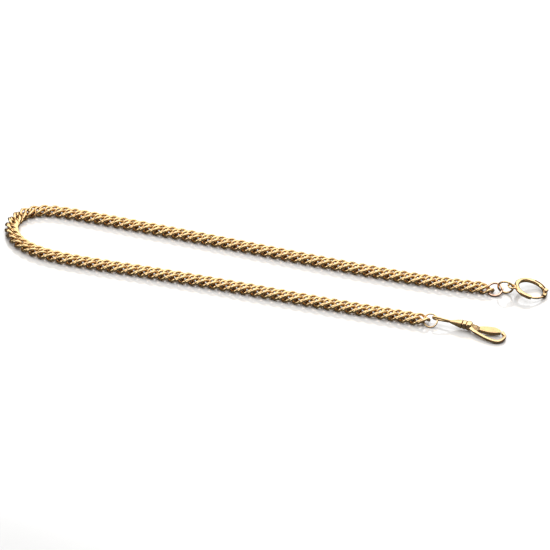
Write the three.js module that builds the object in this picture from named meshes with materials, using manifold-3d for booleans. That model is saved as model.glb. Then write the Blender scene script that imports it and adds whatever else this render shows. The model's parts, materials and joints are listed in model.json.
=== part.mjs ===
// A pocket watch chain laid in a long hairpin: a double curb chain with a bolt ring on one end and a
// swivel snap hook on the other. Millimetres, +Z up, the table at z = 0.
import * as THREE from 'three';
import { mergeVertices } from 'three/addons/utils/BufferGeometryUtils.js';
import Module from 'manifold-3d';

const wasm = await Module();
wasm.setup();

// ---- Driving sizes: the curb chain ------------------------------------------------------------
const PAIR_COUNT = 46; // neighbouring links made as one solid, two by two
const LINK_PITCH = 3.6; // from one link's centre to the next
const LINK_WIRE = 0.75; // each link is two rings of this wire, side by side
const LINK_PLAY = 0.6; // how far two neighbours slide along the chain
const LINK_SIDE_ROOM = 0.95; // room inside a link beside the neighbour that passes through it
const LINK_TWIST = -52; // degrees that a link's end is turned out of the chain's plane
const PAIR_BEAD = 0.5; // the bead that holds the two links of a pair together

// ---- Driving sizes: the bolt ring -------------------------------------------------------------
const RING_RADIUS = 4.85; // to the middle of the tube
const TUBE_WIRE = 1.56; // the tube's outer diameter
const TUBE_WALL = 0.28;
const TUBE_FROM = -25; // the tube's mouth that the bolt slides out of, degrees
const TUBE_TO = 275; // the mouth that takes the bolt's tip
const BOLT_PLAY = 0.14; // between the bolt and the bore, all round
const BOLT_TIP = 12; // degrees of bolt inside the far mouth when it is shut
const BOLT_TRAVEL = 70; // degrees that the thumb knob slides
const KNOB_AT = 4; // where the knob stands when the bolt is shut
const KNOB_RADIUS = 0.85;
const KNOB_HEIGHT = 0.7;
const KNOB_RISE = 0.1; // between the tube and the knob
const KNOB_STEM = 0.2; // radius
const STEM_FIT = 0.03; // between the stem and its hole in the bolt
const SPRING_WIRE = 0.16;
const SPRING_TURNS = 11;
const SPRING_TO = 150; // where the spring bears on the end of the bore
const EYE_WIRE = 0.66; // the eye soldered to the tube
const EYE_RADIUS = 1.15;
const EYE_SEAT = 0.15; // how deep the eye is let into the tube
const EYE_AT = 195; // where it stands, degrees

// ---- Driving sizes: the loose rings -----------------------------------------------------------
const END_RING = { radius: 2.4, wire: 0.82 };
const CONNECTING_RING = { radius: 2.4, wire: 0.7 };
const SWIVEL_RING = { radius: 2.2, wire: 0.5 };

// ---- Driving sizes: the swivel and the snap hook ----------------------------------------------
const LOOP_WIRE = 0.7; // the swivel's long eye
const LOOP_WIDTH = 2.6;
const LOOP_LENGTH = 6.2;
const CONE_LENGTH = 4.4;
const CONE_NECK = 0.5; // radii of the trumpet
const CONE_MOUTH = 1.45;
const RIVET_RADIUS = 0.42;
const RIVET_HEAD = 0.78;
const RIVET_HEAD_LENGTH = 0.6;
const COLLAR_RADIUS = 1.5;
const COLLAR_LENGTH = 1.3;
const SHOULDER_RADIUS = 1.6;
const SHOULDER_LENGTH = 1.75;
const SWIVEL_GAP = 0.16; // the groove between the trumpet and the collar, and play on the rivet
const HOOK_WIRE = 1.25;
const HOOK_RADIUS = 2.6; // the round end, to the middle of the wire
const HOOK_REACH = 11.6; // from the swivel's groove to the round end's centre
const HOOK_DROP = -2; // how far that centre lies to the side of the swivel's axis
const NOSE_ANGLE = 58; // where the hook stops and the gate begins
const NOSE_ROOM = 0.35; // how far the gate stops short of the end of the hook's wire
const NOSE_BLOCK = 6; // the region beside the nose that the gate's sweep clears
const NOSE_LEVEL = 0.9; // where that region starts, outward from the hook's middle
const TIP_OUTER = 9; // the gate's tip, as two angles seen from the pin
const TIP_INNER = 3;
const CLIP_THICKNESS = 1.3;
const PIN_RADIUS = 0.32;
const PIN_PLAY = 0.06;
const PIN_AT = [4.45, -0.9]; // the gate's pin, along the clip and to its side
const BOSS_RADIUS = 1.3; // the body's two cheeks round the pin
const TONGUE_RADIUS = 0.95; // the gate's root, between the cheeks
const TONGUE_THICKNESS = 0.56;
const GATE_GAP = 0.13; // between the gate and what it swings past
const GATE_OPEN = 15; // degrees
const LEAF_LENGTH = 1; // the gate's spring
const LEAF_THICKNESS = 0.12;
const LEAF_SLOPE = -20;
const LEAF_AHEAD = 1.6; // the leaf's middle, forward of the pin and inward from it
const LEAF_BELOW = 0.84;

// ---- Places -----------------------------------------------------------------------------------
// The chain's route over the table, from the bolt ring's end round the bend to the swivel's end.
const ROUTE = [
  [69.9, 12.1], [50, 10.5], [30, 10.2], [5, 10.8], [-20, 11.7], [-50, 12.5], [-74, 12.9],
  [-85, 12.6], [-92, 10.4], [-95.6, 3.5], [-92.9, -5.4], [-85.2, -11.7], [-75, -14.1],
  [-62, -14.4], [-40, -13.5], [-12, -12.9], [20, -12.9], [54.7, -12.3],
];
const RING_TILT = 14; // the bolt ring leans on its eye
const RING_HEADING = 9;
const CLIP_PITCH = 3.2; // the hook's tip is lower than the swivel
const CLIP_ROLL = 8;
const CLIP_HEADING = 0.5;
const CLIP_OFFSET = [12.5, 0.8, 0.55]; // the swivel's groove, from the chain's last junction
const LOOP_ROLL = 115; // how the swivel's eye is turned in its collar
const SWIVEL_RING_LEAN = 43; // the thin ring stands up on its edge
const END_RING_LEAN = 28;
const END_RING_LIFT = 0.05; // how far these two rings sit above the chain's middle
const SWIVEL_RING_LIFT = 0.25;
const CONNECTING_RING_LEAN = 100;
const CONNECTING_SHIFT = [0.1, 0.3, -0.05]; // that ring's hang, so that its wire clears both neighbours
const BOLT_RING_OFFSET = [13.4, 3.3]; // the bolt ring's centre, from the chain's first junction
const END_PLAY = 0.25; // between the last links' ends and the loose rings that hang in them
const SWIVEL_PLAY = 0.2;

const rad = THREE.MathUtils.degToRad;
const GOLD = { color: 0xe2b04f, metalness: 1, roughness: 0.22 };
const ROSE = { color: 0xe0a078, metalness: 1, roughness: 0.25 };
const STEEL = { color: 0xb8b4aa, metalness: 1, roughness: 0.35 };

const chain = new THREE.Group();

// ---- Small tools ------------------------------------------------------------------------------
function solid(geometry) {
  const bare = geometry.index ? geometry.clone() : geometry;
  bare.deleteAttribute('normal');
  bare.deleteAttribute('uv');
  const merged = mergeVertices(bare, 1e-5);
  return new wasm.Manifold(new wasm.Mesh({
    numProp: 3,
    vertProperties: new Float32Array(merged.attributes.position.array),
    triVerts: new Uint32Array(merged.index.array),
  }));
}

function geometryOf(body) {
  const mesh = body.getMesh();
  const geometry = new THREE.BufferGeometry();
  geometry.setAttribute('position', new THREE.BufferAttribute(new Float32Array(mesh.vertProperties), 3));
  geometry.setIndex(new THREE.BufferAttribute(new Uint32Array(mesh.triVerts), 1));
  geometry.computeVertexNormals();
  return geometry;
}

const join = (...parts) => geometryOf(parts.map(solid).reduce((a, b) => a.add(b)));
const cut = (part, ...tools) => geometryOf(tools.map(solid).reduce((a, b) => a.subtract(b), solid(part)));

function node(parent, name, geometry, finish) {
  const mesh = new THREE.Mesh(geometry, new THREE.MeshStandardMaterial(finish));
  mesh.name = name;
  parent.add(mesh);
  return mesh;
}

// A section that isn't round is drawn as a polygon with its flats facing up, down and sideways.
function disc(radius, sides, hole = 0) {
  const ring = (r) => Array.from({ length: sides }, (_, i) => {
    const angle = (2 * Math.PI * (i + 0.5)) / sides;
    return new THREE.Vector2(r * Math.cos(angle), r * Math.sin(angle));
  });
  const shape = new THREE.Shape(ring(radius));
  if (hole) shape.holes.push(new THREE.Path(ring(hole).reverse()));
  return shape;
}

class RingArc extends THREE.Curve {
  constructor(radius, from, to) {
    super();
    Object.assign(this, { radius, from, to });
  }

  getPoint(t, target = new THREE.Vector3()) {
    const angle = rad(this.from + (this.to - this.from) * t);
    return target.set(this.radius * Math.cos(angle), this.radius * Math.sin(angle), 0);
  }
}

// A spring's wire, coiled round an arc.
class CoiledArc extends THREE.Curve {
  constructor(arc, coil, turns) {
    super();
    Object.assign(this, { arc, coil, turns });
  }

  getPoint(t, target = new THREE.Vector3()) {
    const middle = this.arc.getPoint(t);
    const out = middle.clone().normalize();
    const turn = 2 * Math.PI * this.turns * t;
    target.copy(middle).addScaledVector(out, this.coil * Math.cos(turn));
    target.z = this.coil * Math.sin(turn);
    return target;
  }
}

const sweep = (section, path, steps) =>
  new THREE.ExtrudeGeometry(section, { extrudePath: path, steps, bevelEnabled: false });

const arcRod = (diameter, from, to, sides = 8, step = 9) =>
  sweep(disc(diameter / 2, sides), new RingArc(RING_RADIUS, from, to), Math.ceil((to - from) / step));

// A turned piece: its profile is [place along X, radius] from end to end, and it turns round X.
function turned(profile, sides) {
  const points = profile.map(([x, r]) => new THREE.Vector2(r, x));
  return new THREE.LatheGeometry(points, sides).rotateZ(-Math.PI / 2).scale(1, 1, -1);
}

function flip(geometry) {
  const index = geometry.index.array;
  for (let i = 0; i < index.length; i += 3) [index[i], index[i + 1]] = [index[i + 1], index[i]];
  return geometry;
}

const rod = (x0, x1, radius, sides = 12) =>
  flip(turned([[x0, 0], [x0, radius], [x1, radius], [x1, 0]], sides));

const plate = (shape, thickness) =>
  new THREE.ExtrudeGeometry(shape, { depth: thickness, bevelEnabled: false, curveSegments: 8 })
    .translate(0, 0, -thickness / 2);

// ---- The curb chain ---------------------------------------------------------------------------
const linkHalfLength = (LINK_PITCH + LINK_WIRE + LINK_PLAY) / 2;
const linkHalfWidth = 1.5 * LINK_WIRE + LINK_SIDE_ROOM;
const LINK_SIDES = 6;
const LINK_SEGMENTS = 10;

// One double link, as a band as thick as one wire and as high as two, twisted from end to end.
function linkBand() {
  const far = 10;
  const band = new THREE.TorusGeometry(far, 1, LINK_SIDES, LINK_SEGMENTS);
  const place = band.attributes.position;
  for (let i = 0; i < place.count; i += 1) {
    const [x, y, z] = [place.getX(i), place.getY(i), place.getZ(i)];
    const around = Math.atan2(y, x);
    const section = Math.atan2(z, Math.hypot(x, y) - far) + Math.PI / LINK_SIDES;
    const outward = (LINK_WIRE / 2) * Math.cos(section) / Math.cos(Math.PI / LINK_SIDES);
    const along = (linkHalfLength + outward) * Math.cos(around);
    const aside = (linkHalfWidth + outward) * Math.sin(around);
    const lift = LINK_WIRE * Math.sin(section);
    const twist = rad(LINK_TWIST) * Math.cos(around);
    place.setXYZ(i, along, aside * Math.cos(twist) - lift * Math.sin(twist),
      aside * Math.sin(twist) + lift * Math.cos(twist));
  }
  return band;
}

const band = linkBand();
band.computeBoundingBox();
const chainHeight = -band.boundingBox.min.z;

// The route is drawn once and stretched, so that it is as long as the chain.
const linkCount = 2 * PAIR_COUNT;
const routePoints = ROUTE.map(([x, y]) => new THREE.Vector3(x, y, 0));
const drawn = new THREE.CatmullRomCurve3(routePoints, false, 'centripetal');
drawn.arcLengthDivisions = 4000;
const stretch = (linkCount * LINK_PITCH) / drawn.getLength();
const junction = (i) => drawn.getPointAt(i / linkCount).multiplyScalar(stretch).setZ(chainHeight);

const headingOf = (from, to) => Math.atan2(to.y - from.y, to.x - from.x);

function linkPlace(i) {
  const [from, to] = [junction(i), junction(i + 1)];
  const place = new THREE.Object3D();
  place.position.copy(from).add(to).divideScalar(2);
  place.rotation.z = headingOf(from, to);
  place.updateMatrix();
  return place.matrix;
}

// Two neighbouring links, round the junction between them.
function addLinkPair(k) {
  const middle = junction(2 * k + 1);
  const pair = new THREE.Object3D();
  pair.position.copy(middle);
  pair.rotation.z = headingOf(junction(2 * k), junction(2 * k + 2));
  pair.updateMatrix();
  const toPair = pair.matrix.clone().invert();
  const links = [2 * k, 2 * k + 1].map((i) =>
    linkBand().applyMatrix4(toPair.clone().multiply(linkPlace(i))));
  const overlap = 2 * linkHalfLength - LINK_PITCH;
  const bead = rod(-overlap / 2, overlap / 2, PAIR_BEAD / 2, 6);
  const mesh = node(chain, `link_pair_${String(k + 1).padStart(2, '0')}`, join(...links, bead), GOLD);
  mesh.position.copy(pair.position);
  mesh.rotation.copy(pair.rotation);
}

// ---- The loose rings --------------------------------------------------------------------------
// A ring of wire that stands in a link: its plane holds the way ahead and leans up from the table.
function addLooseRing(name, size, centre, heading, lean, finish) {
  const ring = new THREE.TorusGeometry(size.radius, size.wire / 2, 8, 18);
  const mesh = node(chain, name, join(ring), finish);
  mesh.rotation.set(rad(lean), 0, heading, 'ZYX');
  mesh.position.copy(centre);
  return mesh;
}

// How far past a chain's last junction the wire of a ring through its last link lies.
const hookUp = linkHalfLength - LINK_PITCH / 2 - LINK_WIRE / 2;

// ---- The bolt ring ----------------------------------------------------------------------------
const boreRadius = TUBE_WIRE / 2 - TUBE_WALL;
const boltRadius = boreRadius - BOLT_PLAY;
const boltBack = KNOB_AT + 12;
const eyeReach = RING_RADIUS + TUBE_WIRE / 2 + EYE_RADIUS - EYE_SEAT;

function addBoltRing(centre) {
  const group = new THREE.Group();
  group.position.copy(centre);
  group.rotation.set(0, rad(RING_TILT), rad(RING_HEADING), 'ZYX');
  chain.add(group);

  const tube = arcRod(TUBE_WIRE, TUBE_FROM, TUBE_TO, 10);
  const bore = arcRod(2 * boreRadius, TUBE_FROM - 9, SPRING_TO, 10);
  const mouth = arcRod(2 * boreRadius, TUBE_TO - BOLT_TIP - 6, TUBE_TO + 9, 10);
  const slot = sweep(disc(KNOB_STEM + BOLT_PLAY, 6),
    new RingArc(RING_RADIUS, KNOB_AT - 5, KNOB_AT + BOLT_TRAVEL + 5), 9).scale(1, 1, 4)
    .translate(0, 0, 3.3 * (KNOB_STEM + BOLT_PLAY));
  const eye = new THREE.TorusGeometry(EYE_RADIUS, EYE_WIRE / 2, 8, 16).translate(eyeReach, 0, 0)
    .rotateZ(rad(EYE_AT));
  const shell = [bore, mouth, slot].map(solid).reduce((a, b) => a.subtract(b), solid(tube));
  node(group, 'bolt_ring_tube', geometryOf(shell.add(solid(eye))), GOLD);

  const rodOfBolt = arcRod(2 * boltRadius, TUBE_TO - 360 - BOLT_TIP, boltBack);
  node(group, 'sliding_bolt', cut(rodOfBolt, stemAt(KNOB_STEM + STEM_FIT, boreRadius)), GOLD);
  node(group, 'thumb_knob', knob(), GOLD);
  const coil = boreRadius - SPRING_WIRE / 2 - 0.08;
  const path = new CoiledArc(new RingArc(RING_RADIUS, boltBack + 2, SPRING_TO - 2), coil, SPRING_TURNS);
  node(group, 'bolt_spring', join(sweep(disc(SPRING_WIRE / 2, 4), path, 8 * SPRING_TURNS)), STEEL);
}

// A stem under the knob, from the middle of the bolt upward.
const stemAt = (radius, top) => new THREE.CylinderGeometry(radius, radius, top, 8)
  .rotateX(Math.PI / 2).translate(RING_RADIUS, 0, top / 2).rotateZ(rad(KNOB_AT));

function knob() {
  const under = TUBE_WIRE / 2 + KNOB_RISE;
  const profile = [[under, 0], [under, KNOB_RADIUS * 0.8], [under + KNOB_HEIGHT * 0.45, KNOB_RADIUS],
    [under + KNOB_HEIGHT * 0.85, KNOB_RADIUS * 0.75], [under + KNOB_HEIGHT, 0]];
  const head = new THREE.LatheGeometry(profile.map(([z, r]) => new THREE.Vector2(r, z)), 14)
    .rotateX(Math.PI / 2).translate(RING_RADIUS, 0, 0).rotateZ(rad(KNOB_AT));
  const stem = stemAt(KNOB_STEM, under + 0.1).translate(0, 0, 0.02);
  return join(head, stem);
}

// ---- The swivel and the snap hook -------------------------------------------------------------
function addSwivelHead(clip) {
  const head = new THREE.Group();
  head.rotation.x = rad(LOOP_ROLL);
  clip.add(head);
  const neck = -SWIVEL_GAP - CONE_LENGTH;
  const wide = (LOOP_WIDTH - LOOP_WIRE) / 2;
  const long = LOOP_LENGTH - LOOP_WIRE;
  const start = neck + 0.15 - long;
  const turn = wide * 0.8;
  const loop = new THREE.CatmullRomCurve3([
    [start, 0], [start + turn * 0.45, -wide * 0.8], [start + turn * 1.3, -wide],
    [start + long * 0.6, -wide * 0.75],
    [start + long, -wide * 0.3], [start + long, wide * 0.3], [start + long * 0.6, wide * 0.75],
    [start + turn * 1.3, wide], [start + turn * 0.45, wide * 0.8],
  ].map(([x, y]) => new THREE.Vector3(x, y, 0)), true);
  const count = 20;
  const wire = new THREE.TorusGeometry(10, LOOP_WIRE / 2, 8, count);
  bendRing(wire, loop, 10);
  const mouth = -SWIVEL_GAP;
  const cone = flip(turned([[neck - 0.2, 0], [neck - 0.2, CONE_NECK * 0.9], [neck + 0.25, CONE_NECK],
    [neck + CONE_LENGTH * 0.3, CONE_NECK + (CONE_MOUTH - CONE_NECK) * 0.26],
    [neck + CONE_LENGTH * 0.6, CONE_NECK + (CONE_MOUTH - CONE_NECK) * 0.62],
    [neck + CONE_LENGTH * 0.82, CONE_NECK + (CONE_MOUTH - CONE_NECK) * 0.88],
    [mouth - 0.3, CONE_MOUTH], [mouth, CONE_MOUTH * 0.97], [mouth, 0]], 16));
  const seat = rod(mouth - 1.4, mouth + 0.1, RIVET_RADIUS + 0.04);
  node(head, 'swivel_eye', geometryOf(solid(wire).add(solid(cone)).subtract(solid(seat))), GOLD);
  const headAt = COLLAR_LENGTH + SWIVEL_GAP;
  const rivet = flip(turned([[mouth - 1.35, 0], [mouth - 1.35, RIVET_RADIUS], [headAt, RIVET_RADIUS],
    [headAt + 0.05, RIVET_HEAD], [headAt + 0.45, RIVET_HEAD],
    [headAt + RIVET_HEAD_LENGTH, 0]], 12));
  node(head, 'swivel_rivet', rivet, GOLD);
}

// Bends a torus of the given radius so that its middle follows a closed flat curve.
function bendRing(torus, curve, radius) {
  const place = torus.attributes.position;
  for (let i = 0; i < place.count; i += 1) {
    const [x, y, z] = [place.getX(i), place.getY(i), place.getZ(i)];
    const t = (Math.atan2(y, x) / (2 * Math.PI) + 1) % 1;
    const middle = curve.getPointAt(t);
    const ahead = curve.getTangentAt(t);
    const out = Math.hypot(x, y) - radius;
    place.setXYZ(i, middle.x + out * ahead.y, middle.y - out * ahead.x, z);
  }
}

const hookCentre = [HOOK_REACH, HOOK_DROP];
const bodyStart = COLLAR_LENGTH + 0.04;
const bodyFace = bodyStart + SHOULDER_LENGTH;

function hookPath() {
  const [cx, cy] = hookCentre;
  const [px, py] = PIN_AT;
  const onRound = (angle) => [cx + HOOK_RADIUS * Math.cos(rad(angle)),
    cy + HOOK_RADIUS * Math.sin(rad(angle))];
  const points = [[bodyFace - 0.9, -0.7], [px - 1, py - 0.55], [px + 0.3, py - 1.35], [px + 2, py - 2.2],
    [px + 4, py - 3], onRound(-100), onRound(-75), onRound(-50), onRound(-25), onRound(0), onRound(25),
    onRound(NOSE_ANGLE)];
  return new THREE.CatmullRomCurve3(points.map(([x, y]) => new THREE.Vector3(x, y, 0)), false, 'centripetal');
}

// The gate's tip sweeps a circle about the pin that just clears the hook's nose.
function gateReach() {
  const [px, py] = PIN_AT;
  const nose = [hookCentre[0] + HOOK_RADIUS * Math.cos(rad(NOSE_ANGLE)),
    hookCentre[1] + HOOK_RADIUS * Math.sin(rad(NOSE_ANGLE))];
  return Math.hypot(nose[0] - px, nose[1] - py) - NOSE_ROOM;
}

const fromPin = (radius, angle) =>
  [PIN_AT[0] + radius * Math.cos(rad(angle)), PIN_AT[1] + radius * Math.sin(rad(angle))];

// The gate seen from above: a broad leaf with a narrower root round the pin.
function gateOutline(reach) {
  const [px, py] = PIN_AT;
  const [cx, cy] = hookCentre;
  const top = cy + HOOK_RADIUS + HOOK_WIRE / 2;
  const outline = new THREE.Shape();
  outline.moveTo(px, py + TONGUE_RADIUS);
  outline.lineTo(...fromPin(BOSS_RADIUS + GATE_GAP, 44));
  outline.quadraticCurveTo(px + 3.2, top - 0.25, px + 5.2, top);
  outline.quadraticCurveTo(px + 7.2, top + 0.1, ...fromPin(reach, TIP_OUTER));
  outline.lineTo(...fromPin(reach, TIP_INNER));
  outline.quadraticCurveTo(cx - 0.2, py - 0.3, cx - 2, py - 0.6);
  outline.quadraticCurveTo(px + 3.4, py - 0.75, ...fromPin(BOSS_RADIUS + GATE_GAP, -22));
  outline.lineTo(px + 0.5, py - TONGUE_RADIUS * 0.85);
  outline.lineTo(px, py - TONGUE_RADIUS);
  outline.absarc(px, py, TONGUE_RADIUS, rad(-90), rad(90), true);
  return outline;
}

// The body's cheeks: flat on both sides, from the shoulder to round the pin.
function cheekOutline() {
  const [px, py] = PIN_AT;
  const outline = new THREE.Shape();
  outline.moveTo(bodyFace - 0.7, 0.75);
  outline.lineTo(bodyFace, 0.62);
  outline.lineTo(px, py + BOSS_RADIUS);
  outline.absarc(px, py, BOSS_RADIUS, rad(90), rad(-90), true);
  outline.lineTo(bodyFace, -1.1);
  outline.lineTo(bodyFace - 0.7, -1);
  return outline;
}

// The slot between the cheeks, wide enough for the gate's root to swing in.
function slotOutline() {
  const [px, py] = PIN_AT;
  const room = TONGUE_RADIUS + GATE_GAP;
  const outline = new THREE.Shape();
  outline.moveTo(px, py + room);
  outline.lineTo(px + BOSS_RADIUS + 1, py + room);
  const swingRoom = (BOSS_RADIUS + 1) * Math.tan(rad(GATE_OPEN)) - 0.6;
  outline.lineTo(px + BOSS_RADIUS + 1, py - room - swingRoom);
  outline.lineTo(...fromPin(room, -60));
  outline.absarc(px, py, room, rad(-60), rad(90), true);
  return outline;
}

const pinRod = (radius, length) => new THREE.CylinderGeometry(radius, radius, length, 12)
  .rotateX(Math.PI / 2).translate(...PIN_AT, 0);

const pinDisc = (radius, thickness) => new THREE.CylinderGeometry(radius, radius, thickness, 28)
  .rotateX(Math.PI / 2).translate(...PIN_AT, 0);

function claspBody(reach) {
  const shoulder = flip(turned([[bodyStart, 0], [bodyStart, SHOULDER_RADIUS * 0.9],
    [bodyStart + 0.35, SHOULDER_RADIUS], [bodyFace - 0.5, SHOULDER_RADIUS],
    [bodyFace, SHOULDER_RADIUS * 0.72], [bodyFace, 0]], 16));
  const pocketEnd = COLLAR_LENGTH + RIVET_HEAD_LENGTH + 2 * SWIVEL_GAP;
  const pocket = rod(bodyStart - 0.1, pocketEnd, RIVET_HEAD + SWIVEL_GAP);
  const wire = sweep(disc(HOOK_WIRE / 2, 8), hookPath(), 24);
  const cheeks = plate(cheekOutline(), CLIP_THICKNESS);
  const slot = plate(slotOutline(), TONGUE_THICKNESS + 2 * GATE_GAP);
  const swing = new THREE.CylinderGeometry(reach + GATE_GAP, reach + GATE_GAP, CLIP_THICKNESS + 1, 72)
    .rotateX(Math.PI / 2).translate(...PIN_AT, 0);
  const above = new THREE.BoxGeometry(NOSE_BLOCK, NOSE_BLOCK, NOSE_BLOCK)
    .translate(hookCentre[0] + 1, hookCentre[1] + NOSE_LEVEL + NOSE_BLOCK / 2, 0);
  const past = solid(swing).intersect(solid(above));
  return geometryOf(solid(shoulder).add(solid(wire)).add(solid(cheeks)).subtract(solid(pocket))
    .subtract(solid(slot)).subtract(solid(pinRod(PIN_RADIUS + PIN_PLAY, CLIP_THICKNESS + 1))).subtract(past));
}

function claspGate(reach) {
  const leaf = plate(gateOutline(reach), CLIP_THICKNESS);
  const cheekRoom = (CLIP_THICKNESS - TONGUE_THICKNESS) / 2 + 1;
  const upper = pinDisc(BOSS_RADIUS + GATE_GAP, cheekRoom)
    .translate(0, 0, TONGUE_THICKNESS / 2 + cheekRoom / 2);
  const lower = upper.clone().translate(0, 0, -TONGUE_THICKNESS - cheekRoom);
  return cut(leaf, upper, lower, pinRod(PIN_RADIUS + PIN_PLAY, CLIP_THICKNESS + 1));
}

function addSnapHook(clip) {
  const collar = flip(turned([[0, 0], [0, COLLAR_RADIUS * 0.86], [0.25, COLLAR_RADIUS],
    [COLLAR_LENGTH - 0.25, COLLAR_RADIUS], [COLLAR_LENGTH, COLLAR_RADIUS * 0.9], [COLLAR_LENGTH, 0]], 16));
  node(clip, 'swivel_collar', cut(collar, rod(-0.1, COLLAR_LENGTH + 0.1, RIVET_RADIUS + SWIVEL_GAP)), GOLD);
  const reach = gateReach();
  node(clip, 'clasp_body', claspBody(reach), GOLD);
  node(clip, 'clasp_gate', claspGate(reach), GOLD);
  node(clip, 'gate_pin', join(pinRod(PIN_RADIUS, CLIP_THICKNESS + 0.12)), GOLD);
  node(clip, 'gate_spring', gateSpring(), STEEL);
}

// A short leaf on the floor of the slot, pushing the gate's root outward.
function gateSpring() {
  const [px, py] = PIN_AT;
  return new THREE.BoxGeometry(LEAF_LENGTH, LEAF_THICKNESS, TONGUE_THICKNESS * 0.7)
    .rotateZ(rad(LEAF_SLOPE)).translate(px + LEAF_AHEAD, py - LEAF_BELOW, 0);
}

// ---- Putting it together ----------------------------------------------------------------------
for (let k = 0; k < PAIR_COUNT; k += 1) addLinkPair(k);

const farEnd = junction(0);
const farHeading = headingOf(junction(1), farEnd);
const nearEnd = junction(linkCount);
const nearHeading = headingOf(junction(linkCount - 1), nearEnd);
const ahead = (heading, distance) =>
  new THREE.Vector3(distance * Math.cos(heading), distance * Math.sin(heading), 0);

const up = (height) => new THREE.Vector3(0, 0, height);

const endReach = hookUp - END_RING.wire / 2 - END_PLAY + END_RING.radius;
const endRingAt = farEnd.clone().add(ahead(farHeading, endReach)).add(up(END_RING_LIFT));
addLooseRing('end_jump_ring', END_RING, endRingAt, farHeading, END_RING_LEAN, ROSE);

// The bolt ring leans from the connecting ring down to the table.
const [boltX, boltY] = BOLT_RING_OFFSET;
const boltRingAt = new THREE.Vector3(farEnd.x + boltX, farEnd.y + boltY,
  RING_RADIUS * Math.sin(rad(RING_TILT)) + TUBE_WIRE / 2);
addBoltRing(boltRingAt);
const boltTurn = new THREE.Euler(0, rad(RING_TILT), rad(RING_HEADING), 'ZYX');
const eyeAt = ahead(rad(EYE_AT), eyeReach).applyEuler(boltTurn).add(boltRingAt);

// The connecting ring stands on edge between the end ring and the bolt ring's eye.
const reachOf = (a, b) => a.radius + b.radius - (a.wire + b.wire) / 2;
const toEye = eyeAt.clone().sub(endRingAt);
const nearReach = reachOf(END_RING, CONNECTING_RING);
const farReach = reachOf(CONNECTING_RING, { radius: EYE_RADIUS, wire: EYE_WIRE });
const spare = (nearReach + farReach - toEye.length()) / 2;
const connectingAt = endRingAt.clone().addScaledVector(toEye.clone().normalize(), nearReach - spare)
  .add(new THREE.Vector3(...CONNECTING_SHIFT));
addLooseRing('connecting_ring', CONNECTING_RING, connectingAt, headingOf(endRingAt, eyeAt),
  CONNECTING_RING_LEAN, GOLD);

const swivelRingAt = nearEnd.clone().add(ahead(nearHeading, hookUp - SWIVEL_RING.wire / 2 - SWIVEL_PLAY
  + SWIVEL_RING.radius)).add(up(SWIVEL_RING_LIFT));
addLooseRing('swivel_jump_ring', SWIVEL_RING, swivelRingAt, nearHeading, SWIVEL_RING_LEAN, GOLD);
const clip = new THREE.Group();
clip.rotation.set(rad(CLIP_ROLL), rad(CLIP_PITCH), rad(CLIP_HEADING), 'ZYX');
clip.position.copy(nearEnd).add(new THREE.Vector3(...CLIP_OFFSET));
chain.add(clip);
addSwivelHead(clip);
addSnapHook(clip);
// The origin is under the middle of the whole, on the table.
const bounds = new THREE.Box3().setFromObject(chain, true);
chain.position.set(-(bounds.min.x + bounds.max.x) / 2, -(bounds.min.y + bounds.max.y) / 2, -bounds.min.z);

export default chain;
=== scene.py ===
"""Looks of a gold pocket watch chain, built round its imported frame.

A double curb chain lies in a long hairpin with a bolt ring on one end and a swivel snap hook on the other.
Every sub-assembly is a class. It works in millimetres in its own axes, and its pieces are then set down in
the frame in metres, each on the body that carries it.
"""

import json
import logging
import math
from dataclasses import dataclass, field
from enum import Enum

import bmesh
import bpy
import numpy as np
from mathutils import Matrix, Vector

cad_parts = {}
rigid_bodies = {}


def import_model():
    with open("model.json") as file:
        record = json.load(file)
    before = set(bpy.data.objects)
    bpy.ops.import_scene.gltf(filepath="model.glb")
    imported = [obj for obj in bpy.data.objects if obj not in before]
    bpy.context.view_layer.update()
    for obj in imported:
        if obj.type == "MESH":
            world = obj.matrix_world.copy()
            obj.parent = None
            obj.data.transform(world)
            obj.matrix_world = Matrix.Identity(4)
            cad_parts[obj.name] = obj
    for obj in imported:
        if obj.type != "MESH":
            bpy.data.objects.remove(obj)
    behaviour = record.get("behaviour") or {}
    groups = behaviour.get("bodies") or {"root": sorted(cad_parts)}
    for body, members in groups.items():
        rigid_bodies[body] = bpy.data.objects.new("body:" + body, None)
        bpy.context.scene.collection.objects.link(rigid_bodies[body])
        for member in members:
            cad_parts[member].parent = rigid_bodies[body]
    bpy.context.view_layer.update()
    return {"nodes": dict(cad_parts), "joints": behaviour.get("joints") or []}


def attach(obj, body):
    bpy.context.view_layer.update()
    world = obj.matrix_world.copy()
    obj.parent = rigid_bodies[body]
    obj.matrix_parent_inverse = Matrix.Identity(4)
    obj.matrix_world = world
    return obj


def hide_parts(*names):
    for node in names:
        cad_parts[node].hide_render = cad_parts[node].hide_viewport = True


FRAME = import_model()

MM = 0.001
LOG = logging.getLogger("watch_chain")

Colour = tuple[float, float, float]
Profile = list[tuple[float, float]]
Shape = tuple[np.ndarray, list[list[int]]]

ON_AXIS = 1e-6
ACROSS = np.array([0.0, 0.0, 1.0])
COLLAR_SEAM = 0.04  # millimetres between the collar and the shoulder


# ---- Places ------------------------------------------------------------------------------------------
@dataclass(frozen=True)
class Place:
    """Where a sub-assembly's own axes lie in the frame.

    Attributes:
        origin: The own origin, in metres.
        ahead: The own X axis.
        up: The own Z axis.
    """

    origin: Vector
    ahead: Vector
    up: Vector

    def matrix(self) -> Matrix:
        """Turns own millimetres into metres of the frame.

        Returns:
            The 4 x 4 matrix.
        """
        up = self.up.normalized()
        ahead = (self.ahead - up * self.ahead.dot(up)).normalized()
        aside = up.cross(ahead)
        turn = Matrix((ahead, aside, up)).transposed().to_4x4()
        return Matrix.Translation(self.origin) @ turn @ Matrix.Scale(MM, 4)


def joint(name: str) -> dict:
    """Finds a joint of the frame by its name.

    Args:
        name: The joint's name.

    Returns:
        The joint's row.
    """
    return next(row for row in FRAME["joints"] if row["name"] == name)


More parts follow.
